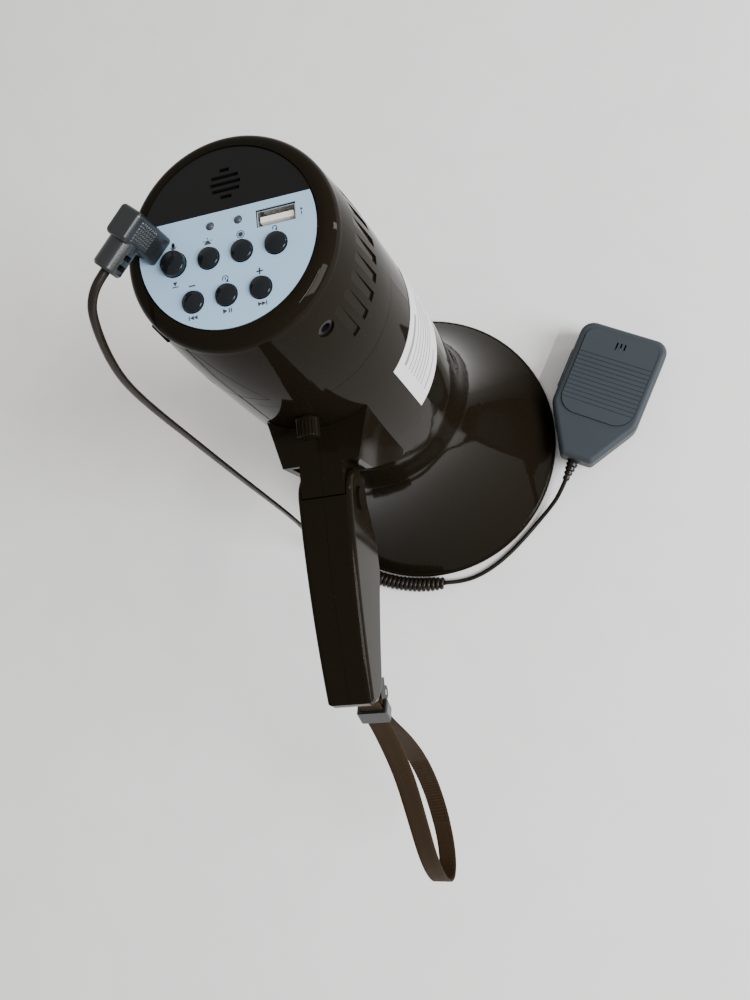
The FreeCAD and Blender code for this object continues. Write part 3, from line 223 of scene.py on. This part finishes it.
class Material:
    """A procedural material, built a node at a time."""

    def __init__(self, name, color, roughness, metallic=0.0):
        self.material = bpy.data.materials.new(name)
        self.material.use_nodes = True
        self.tree = self.material.node_tree
        self.shader = self.tree.nodes["Principled BSDF"]
        self.shader.inputs["Base Color"].default_value = (*color, 1.0)
        self.shader.inputs["Roughness"].default_value = roughness
        self.shader.inputs["Metallic"].default_value = metallic
        self.color = color
        self.coordinates = self.tree.nodes.new("ShaderNodeTexCoord").outputs["Object"]

    def set(self, **values):
        for name, value in values.items():
            self.shader.inputs[name.replace("_", " ")].default_value = value
        return self

    def link(self, output, node, name):
        self.tree.links.new(output, node.inputs[name])

    def noise(self, scale, detail=3.0, rough=0.55, stretch=None):
        node = self.tree.nodes.new("ShaderNodeTexNoise")
        node.inputs["Scale"].default_value = scale
        node.inputs["Detail"].default_value = detail
        node.inputs["Roughness"].default_value = rough
        coordinates = self.coordinates
        if stretch:
            mapping = self.tree.nodes.new("ShaderNodeMapping")
            mapping.inputs["Scale"].default_value = stretch
            self.link(coordinates, mapping, "Vector")
            coordinates = mapping.outputs["Vector"]
        self.link(coordinates, node, "Vector")
        return node.outputs["Fac"]

    def remap(self, output, low, high, to_low=0.0, to_high=1.0):
        node = self.tree.nodes.new("ShaderNodeMapRange")
        for name, value in (("From Min", low), ("From Max", high), ("To Min", to_low),
                            ("To Max", to_high)):
            node.inputs[name].default_value = value
        self.link(output, node, "Value")
        return node.outputs["Result"]

    def math(self, kind, a, b):
        node = self.tree.nodes.new("ShaderNodeMath")
        node.operation = kind
        for slot, value in enumerate((a, b)):
            if isinstance(value, (int, float)):
                node.inputs[slot].default_value = value
            else:
                self.tree.links.new(value, node.inputs[slot])
        return node.outputs["Value"]

    def mix(self, factor, other):
        """Blend the base colour towards another colour."""
        node = self.tree.nodes.new("ShaderNodeMix")
        node.data_type = "RGBA"
        inputs = [s for s in node.inputs if s.type == "RGBA"]
        inputs[0].default_value = (*self.color, 1.0)
        inputs[1].default_value = (*other, 1.0)
        self.tree.links.new(factor, node.inputs[0])
        output = [s for s in node.outputs if s.type == "RGBA"][0]
        self.link(output, self.shader, "Base Color")
        return self

    def rough(self, output):
        self.link(output, self.shader, "Roughness")
        return self

    def bump(self, output, strength, distance):
        node = self.tree.nodes.new("ShaderNodeBump")
        node.inputs["Strength"].default_value = strength
        node.inputs["Distance"].default_value = distance * MM
        links = self.shader.inputs["Normal"].links
        if links:
            self.link(links[0].from_socket, node, "Normal")
        self.link(output, node, "Height")
        self.link(node.outputs["Normal"], self.shader, "Normal")
        return self


def gloss_black(name, color=(0.0075, 0.0056, 0.0033), low=0.05, high=0.09, peel=0.02,
                tint=(0.9, 0.8, 0.68), ior=1.08, coat=0.06):
    """Moulded glossy plastic: handling smudges, a faint ripple in the surface and fine dust; the
    default brown base colour and brown Specular Tint are painted reflection of a brown room.
    """
    made = Material(name, color, low).set(IOR=ior, Coat_Weight=coat, Coat_Roughness=0.03)
    made.shader.inputs["Specular Tint"].default_value = (*tint, 1.0)
    smudges = made.remap(made.noise(16, 3, 0.5), 0.35, 0.75, low, high)
    dust = made.remap(made.noise(1900, 2, 0.5), 0.69, 0.74)
    made.rough(made.math("MAXIMUM", smudges, made.math("MULTIPLY", dust, 0.3)))
    made.mix(made.math("MULTIPLY", dust, 0.16), (0.10, 0.085, 0.07))
    made.bump(made.noise(150, 2), peel, 0.2)
    return made.bump(made.noise(14, 2), peel, 2.0)


def matte_plastic(name, color, rough, grain=2200, depth=0.06, blotch=0.2, ior=1.38):
    """Spark-eroded plastic: fine even grain, slightly uneven sheen."""
    made = Material(name, color, rough).set(IOR=ior)
    made.bump(made.noise(grain, 3, 0.6), 0.55, depth)
    made.rough(made.remap(made.noise(60, 4), 0.3, 0.7, rough - 0.04, rough + 0.05))
    lighter = tuple(min(c * 1.3 + 0.002, 1) for c in color)
    return made.mix(made.remap(made.noise(35, 5), 0.4, 0.75, 0.0, blotch), lighter)


def metal(name, color, rough, scratch=(1, 1, 30)):
    made = Material(name, color, rough, 1.0)
    made.rough(made.remap(made.noise(120, 5, 0.6, scratch), 0.3, 0.7, rough * 0.6, rough * 1.6))
    made.bump(made.noise(400, 3, 0.6, scratch), 0.15, 0.05)
    darker = tuple(c * 0.6 for c in color)
    return made.mix(made.remap(made.noise(70, 4), 0.45, 0.75, 0.0, 0.6), darker)


def rubber(name, color, rough):
    made = Material(name, color, rough).set(IOR=1.3)
    made.bump(made.noise(700, 3), 0.25, 0.05)
    made.rough(made.remap(made.noise(90, 4), 0.3, 0.7, rough - 0.1, rough + 0.12))
    return made.mix(made.remap(made.noise(40, 4), 0.45, 0.8, 0.0, 0.5),
                    tuple(c * 1.9 + 0.006 for c in color))


def printed(name, color, rough):
    """Paper or film, with faint fibres and handling marks."""
    made = Material(name, color, rough)
    made.bump(made.noise(1500, 3), 0.12, 0.03)
    made.rough(made.remap(made.noise(80, 4), 0.3, 0.7, rough - 0.08, rough + 0.1))
    return made.mix(made.remap(made.noise(25, 5), 0.45, 0.8, 0.0, 0.3),
                    tuple(c * 0.86 for c in color))


def board(name, color):
    made = Material(name, color, 0.3)
    made.mix(made.remap(made.noise(300, 2), 0.5, 0.52, 0.0, 0.6), tuple(c * 1.8 for c in color))
    return made.bump(made.noise(300, 2), 0.2, 0.05)


def webbing(name, color):
    """Woven nylon: a herring-bone of fine ribs, in the strap's own length and width."""
    made = Material(name, color, 0.7).set(IOR=1.18)
    uv = made.tree.nodes.new("ShaderNodeUVMap").outputs["UV"]
    split = made.tree.nodes.new("ShaderNodeSeparateXYZ")
    made.link(uv, split, "Vector")
    across, length = split.outputs["X"], split.outputs["Y"]
    folded = made.math("PINGPONG", across, 2.5)
    diagonal = made.math("ADD", length, made.math("MULTIPLY", folded, 0.8))
    ribs = made.math("SINE", made.math("MULTIPLY", diagonal, math.tau / 1.1), 0.0)
    yarns = made.math("SINE", made.math("MULTIPLY", across, math.tau / 0.62), 0.0)
    height = made.math("ADD", ribs, made.math("MULTIPLY", yarns, 0.6))
    made.bump(height, 0.55, 0.16)
    made.bump(made.noise(2600, 3), 0.35, 0.1)
    # Colour follows the bump height: rib tops are painted lighter and grooves darker, a painted
    # highlight on the ribs and painted shade in the grooves.
    made.mix(made.remap(height, -1.2, 1.4, 0.0, 0.7), tuple(c * 2.6 + 0.003 for c in color))
    made.set(Sheen_Weight=0.05, Sheen_Roughness=0.4)
    made.shader.inputs["Sheen Tint"].default_value = (0.5, 0.36, 0.24, 1.0)
    return made


FINISHES = {
    # shell_black and rear_black take gloss_black's default brown colour and tint: painted reflection
    # of a brown room.
    "shell_black": gloss_black("shell_black"),
    "rear_black": gloss_black("rear_black", low=0.08, high=0.15),
    "panel_charcoal": matte_plastic("panel_charcoal", (0.0068, 0.0066, 0.0066), 0.38, 2600, 0.04,
                                    0.2, 1.25),
    "label_grey": printed("label_grey", (0.345, 0.53, 0.72), 0.42),
    "button_black": gloss_black("button_black", (0.007, 0.0085, 0.010), 0.07, 0.12, 0.02,
                                 (0.85, 0.92, 1.0), 1.3),
    "lamp_smoke": gloss_black("lamp_smoke", (0.05, 0.055, 0.065), 0.2, 0.3, 0.02,
                               (0.6, 0.6, 0.6), 1.35),
    "usb_steel": metal("usb_steel", (0.78, 0.77, 0.75), 0.22),
    "tongue_white": matte_plastic("tongue_white", (0.80, 0.79, 0.74), 0.5, 1500, 0.03, 0.1),
    "switch_black": matte_plastic("switch_black", (0.02, 0.02, 0.02), 0.5),
    "board_green": board("board_green", (0.02, 0.16, 0.07)),
    "capsule_metal": metal("capsule_metal", (0.30, 0.30, 0.31), 0.4),
    "socket_black": matte_plastic("socket_black", (0.008, 0.008, 0.009), 0.35, 2200, 0.04,
                                  0.2, 1.25),
    "battery_wrap": printed("battery_wrap", (0.05, 0.13, 0.35), 0.3),
    "inner_black": matte_plastic("inner_black", (0.018, 0.017, 0.017), 0.45),
    "steel": metal("steel", (0.55, 0.54, 0.53), 0.34),
    "ferrite": matte_plastic("ferrite", (0.05, 0.05, 0.052), 0.7, 900, 0.12),
    "diaphragm": printed("diaphragm", (0.42, 0.24, 0.07), 0.3),
    "sticker_white": printed("sticker_white", (0.62, 0.60, 0.60), 0.5),
    "mic_charcoal": matte_plastic("mic_charcoal", (0.036, 0.045, 0.053), 0.55, 1700, 0.09, 0.2, 1.3),
    "mic_plate": matte_plastic("mic_plate", (0.037, 0.046, 0.054), 0.52, 1700, 0.08, 0.2, 1.3),
    "cord_pvc": rubber("cord_pvc", (0.010, 0.0072, 0.0048), 0.3),
    "plug_black": matte_plastic("plug_black", (0.011, 0.013, 0.0145), 0.26, 1800, 0.03, 0.2, 1.48),
    "plug_steel": metal("plug_steel", (0.72, 0.70, 0.66), 0.25),
    "webbing": webbing("webbing", (0.013, 0.0066, 0.0020)),
}
INK = printed("ink_dark", (0.028, 0.028, 0.034), 0.5)
LINE_INK = printed("ink_grey", (0.20, 0.20, 0.21), 0.55)
GOLD = metal("contact_gold", (0.85, 0.62, 0.25), 0.25)
PALE_FLOOR = printed("floor_pale", (0.93, 0.925, 0.92), 0.85)


def finish_with(obj, made):
    obj.data.materials.clear()
    obj.data.materials.append(made.material)


def finished(name, mesh, made):
    obj = mesh_object(name, mesh)
    finish_with(obj, made)
    return obj


for part in frame["record"]["subparts"]:
    finish_with(NODES[part["node"]], FINISHES[part["material_slot"]])
finish_with(cord, FINISHES["cord_pvc"])

# ---------------------------------------------------------------- small mesh pieces

LABEL_TOP = 326.03
PLUG_TURN, PLUG_PLACE, PLUG_HALF = 228.0, (-25.3, 2.0), 4.18
PAD_CENTRE_Z, PAD_PEAK, PAD_VALLEY = 337.0, 0.42, 0.12
USB_X, CONTACT_FACE_Y = 17.6, 2.35


class Flat:
    """Thin print: closed shapes with a little thickness, collected into one mesh."""

    def __init__(self, place, thick=0.05):
        self.mesh = bmesh.new()
        self.place, self.thick = place, thick

    def shape(self, corners):
        """A filled convex outline, as (x, y) in millimetres."""
        low = [self.mesh.verts.new(self.place(x, y, 0.0) * MM) for x, y in corners]
        high = [self.mesh.verts.new(self.place(x, y, self.thick) * MM) for x, y in corners]
        self.mesh.faces.new(list(reversed(low)))
        self.mesh.faces.new(high)
        for i in range(len(corners)):
            j = (i + 1) % len(corners)
            self.mesh.faces.new((low[i], low[j], high[j], high[i]))

    def box(self, x, y, width, height):
        self.shape([(x - width / 2, y - height / 2), (x + width / 2, y - height / 2),
                    (x + width / 2, y + height / 2), (x - width / 2, y + height / 2)])

    def disc(self, x, y, radius, steps=20):
        self.shape([(x + radius * math.cos(math.tau * k / steps),
                     y + radius * math.sin(math.tau * k / steps)) for k in range(steps)])

    def arc(self, x, y, inner, outer, start, end, steps=12):
        for k in range(steps):
            a, b = (math.radians(start + (end - start) * j / steps) for j in (k, k + 1))
            self.shape([(x + r * math.cos(t), y + r * math.sin(t))
                        for r, t in ((inner, a), (outer, a), (outer, b), (inner, b))])

    def arrow(self, x, y, size, angle):
        """A filled triangle that points along an angle."""
        self.shape([(x + size * math.cos(math.radians(angle + t)),
                     y + size * math.sin(math.radians(angle + t))) for t in (0, 125, 235)])

    def done(self, name, made):
        """The finished print, which rides on the horn."""
        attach(finished(name, self.mesh, made), "horn")


def make_panel_print():
    """Generic signs beside the buttons, where a real panel has words."""
    sign = Flat(lambda x, y, z: Vector((x, y, LABEL_TOP + z)))
    # a microphone above the talk button, and an arrow to press below it
    x, y = -18.3, 0.9
    sign.disc(x, y + 0.55, 0.55)
    sign.box(x, y + 0.1, 1.1, 0.9)
    sign.disc(x, y - 0.35, 0.55)
    sign.arc(x, y, 0.95, 1.2, 195, 345)
    sign.box(x, y - 1.5, 0.28, 0.6)
    sign.box(x, y - 1.85, 1.3, 0.25)
    sign.arrow(-18.3, -12.2, 0.9, -90)
    sign.box(-18.3, -13.4, 2.2, 0.28)
    # a lamp with rays above the siren button
    x, y = -6.1, -0.4
    sign.arc(x, y - 0.5, 0.0, 0.9, 0, 180)
    sign.box(x, y - 0.75, 2.4, 0.35)
    for turn in (30, 90, 150):
        dx, dy = math.cos(math.radians(turn)), math.sin(math.radians(turn))
        sign.disc(x + 1.55 * dx, y - 0.5 + 1.55 * dy, 0.22, 10)
    # a ringed dot for record, and a turning arrow for replay
    sign.disc(5.4, -0.5, 0.8, 24)
    sign.arc(5.4, -0.5, 1.15, 1.35, 0, 360, 24)
    sign.arc(17.0, -1.0, 0.62, 0.85, -60, 210)
    sign.arrow(17.45, -1.6, 0.5, 200)
    # minus, repeat one, plus
    sign.box(-12.4, -14.2, 2.2, 0.42)
    sign.box(10.9, -14.2, 2.2, 0.42)
    sign.box(10.9, -14.2, 0.42, 2.2)
    sign.arc(-0.8, -14.2, 0.85, 1.1, -60, 210)
    sign.arrow(-0.2, -15.1, 0.6, 200)
    sign.box(-0.8, -14.2, 0.28, 0.9)
    # previous, play or pause, next
    y = -25.0
    for x in (-12.9, -11.6):
        sign.arrow(x, y, 0.85, 180)
    sign.box(-14.0, y, 0.26, 1.5)
    sign.arrow(-1.7, y, 0.95, 0)
    sign.box(-0.1, y, 0.3, 1.5)
    sign.box(0.6, y, 0.3, 1.5)
    for x in (10.1, 11.4):
        sign.arrow(x, y, 0.85, 0)
    sign.box(12.5, y, 0.26, 1.5)
    # an arrow beside the USB socket
    sign.box(26.2, 2.0, 0.25, 1.2)
    sign.arrow(26.2, 3.3, 0.55, 90)
    sign.done("panel_signs", INK)


NECK_WIDEST, NECK_WIDEST_AT, NECK_CURVE = 47.3, 140.0, 1787.0
STICKER_LIFT = 0.27


def neck_radius(z):
    """The radius of the horn's neck behind the sticker, as a shallow arch."""
    return NECK_WIDEST - (z - NECK_WIDEST_AT) ** 2 / (2 * NECK_CURVE)


def make_sticker_print():
    """Plain grey rules where the rating label has print."""
    def wrap(angle, z, lift):
        r = neck_radius(z) + STICKER_LIFT + lift
        return Vector((r * math.cos(math.radians(angle)), r * math.sin(math.radians(angle)), z))
    rules = Flat(wrap, 0.03)
    start, steps = -31, 14
    # each row's last angle, height up the neck and line height
    rows = [(-3, 243, 2.4), (10, 237.5, 0.8), (16, 233.5, 0.8), (12, 229.5, 0.8),
            (15, 225.5, 0.8), (8, 221.5, 0.8), (16, 217.5, 0.8), (-8, 210.5, 1.2)]
    for end, z, height in rows:
        for k in range(steps):
            a = start + (end - start) * k / steps
            b = start + (end - start) * (k + 1) / steps
            rules.shape([(a, z - height / 2), (b, z - height / 2), (b, z + height / 2),
                         (a, z + height / 2)])
    rules.done("sticker_rules", LINE_INK)


def make_plug_grip():
    """Cross-hatched pad on the plug's outer face."""
    turn = math.radians(PLUG_TURN)
    level = Vector((math.cos(turn), math.sin(turn), 0))
    out = Vector((-math.sin(turn), math.cos(turn), 0))
    origin = Vector((*PLUG_PLACE, PAD_CENTRE_Z)) + out * PLUG_HALF
    mesh = bmesh.new()
    columns, rows, width, height = 7, 8, 7.4, 8.2
    points = {}
    for i in range(columns * 2 + 1):
        for j in range(rows * 2 + 1):
            lift = PAD_PEAK if i % 2 and j % 2 else PAD_VALLEY
            if i in (0, columns * 2) or j in (0, rows * 2):
                lift = 0.0
            place = (origin + level * (width * (i / (columns * 2) - 0.5)) + out * lift
                     + Vector((0, 0, height * (j / (rows * 2) - 0.5))))
            points[i, j] = mesh.verts.new(place * MM)
    for i in range(columns * 2):
        for j in range(rows * 2):
            mesh.faces.new((points[i, j], points[i, j + 1], points[i + 1, j + 1], points[i + 1, j]))
    obj = finished("plug_grip_pad", mesh, FINISHES["plug_black"])
    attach(obj, "horn")


def make_usb_contacts():
    """The four contacts on the side of the tongue that faces the grip."""
    contacts = Flat(lambda x, y, z: Vector((USB_X + x, CONTACT_FACE_Y - z, y)), 0.08)
    for x in (-3.5, -1.0, 1.0, 3.5):
        contacts.box(x, 320.6, 1.0, 4.6)
    contacts.done("usb_contacts", GOLD)


# ---------------------------------------------------------------- wrist strap

STRAP_ROUTE = [
    (-151.2, 213.4), (-154.2, 216.6), (-157.6, 213.6),
    (-162.0, 204.6), (-166.6, 198.6), (-177.0, 184.0), (-197.0, 162.5), (-222.0, 144.0),
    (-249.0, 124.0), (-267.0, 101.0), (-274.5, 78.0), (-267.0, 66.0), (-249.0, 68.5),
    (-222.0, 88.0), (-198.5, 119.5), (-183.0, 151.5), (-172.0, 180.0), (-164.6, 197.2),
    (-160.4, 203.4), (-153.8, 209.2)]
STRAP_WIDTH, STRAP_THICK = 10.0, 1.25
STRAP_STEP, STRAP_EDGE = 0.9, 0.25
RIBBED = (222.0, 290.0)
SLIDE_HOLDS = 26             # the length at each end of the loop that the buckle keeps flat


def make_strap():
    """Woven loop: a band with rounded edges and a ribbed stretch."""
    line = spline_points([(0.0, y, z) for y, z in STRAP_ROUTE], cyclic=True, resolution=20)
    closed = line + [line[0]]
    lengths = along(closed)
    total = lengths[-1]
    count = int(total / STRAP_STEP)
    section = []
    for k in range(8):
        section.append((-STRAP_WIDTH / 2 + 0.35 + (STRAP_WIDTH - 0.7) * k / 7, STRAP_THICK / 2))
    section += [(STRAP_WIDTH / 2, STRAP_EDGE), (STRAP_WIDTH / 2, -STRAP_EDGE)]
    section += [(x, -z) for x, z in reversed(section[:8])]
    section += [(-STRAP_WIDTH / 2, -STRAP_EDGE), (-STRAP_WIDTH / 2, STRAP_EDGE)]
    mesh = bmesh.new()
    uv = mesh.loops.layers.uv.new("UVMap")
    rings = []
    for i in range(count):
        at = total * i / count
        centre, ahead = sample(closed, lengths, at)
        loose = smooth((at - SLIDE_HOLDS) / 60) * smooth((total - SLIDE_HOLDS - at) / 60)
        lean = math.radians(5.0 * math.sin(at / 62.0 + 0.6)) * loose
        sway = 0.9 * math.sin(at / 55.0) * loose
        side = Vector((1, 0, 0))
        out = side.cross(ahead).normalized()
        across = side * math.cos(lean) + out * math.sin(lean)
        normal = across.cross(ahead).normalized()
        ribbed = smooth((at - RIBBED[0]) / 4) * smooth((RIBBED[1] - at) / 4)
        swell = 1 + ribbed * 0.55 * max(math.sin(at * math.tau / 2.7), -0.4)
        rings.append([mesh.verts.new((centre + side * sway + across * x * (1 + 0.02 * ribbed)
                                      + normal * z * swell) * MM) for x, z in section])
    sides = len(section)
    for i in range(count):
        a, b = rings[i], rings[(i + 1) % count]
        for k in range(sides):
            j = (k + 1) % sides
            face = mesh.faces.new((a[k], b[k], b[j], a[j]))
            face.smooth = True
            for loop, (n, m) in zip(face.loops, ((k, i), (k, i + 1), (j, i + 1), (j, i))):
                loop[uv].uv = (section[n][0] + STRAP_WIDTH / 2, total * m / count)
    bmesh.ops.recalc_face_normals(mesh, faces=mesh.faces)
    obj = finished("strap_webbing", mesh, FINISHES["webbing"])
    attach(obj, "strap")
    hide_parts("wrist_strap")
    print("strap length mm", round(total, 1))


make_panel_print()
make_sticker_print()
make_plug_grip()
make_usb_contacts()
make_strap()

# ---------------------------------------------------------------- floor and light


def make_floor():
    mesh = bmesh.new()
    bmesh.ops.create_grid(mesh, x_segments=8, y_segments=8, size=3.0)
    finished("floor", mesh, PALE_FLOOR)


def add_light(name, place, target, size, power, color):
    data = bpy.data.lights.new(name, "AREA")
    data.shape = "RECTANGLE"
    data.size, data.size_y = size
    data.energy = power
    data.color = color
    light = bpy.data.objects.new(name, data)
    bpy.context.scene.collection.objects.link(light)
    light.location = place
    aim = Vector(target) - Vector(place)
    light.rotation_mode = "QUATERNION"
    light.rotation_quaternion = aim.to_track_quat("-Z", "Y")


def make_lights():
    world = bpy.data.worlds.new("soft_room")
    world.use_nodes = True
    background = world.node_tree.nodes["Background"]
    background.inputs["Color"].default_value = (0.93, 0.90, 0.87, 1.0)
    background.inputs["Strength"].default_value = 0.72
    bpy.context.scene.world = world
    add_light("window", (1.7, -0.65, 1.15), (0.05, -0.05, 0.12), (0.9, 1.2), 60,
              (0.97, 0.985, 1.0))
    add_light("key_strip", (1.3, -0.65, 1.9), (0, 0, 0.3), (1.0, 0.07), 17, (1.0, 1.0, 1.0))
    add_light("low_strip", (1.45, 0.6, 0.35), (0, 0, 0.1), (0.12, 0.6), 6, (1.0, 0.98, 0.95))


make_floor()
make_lights()
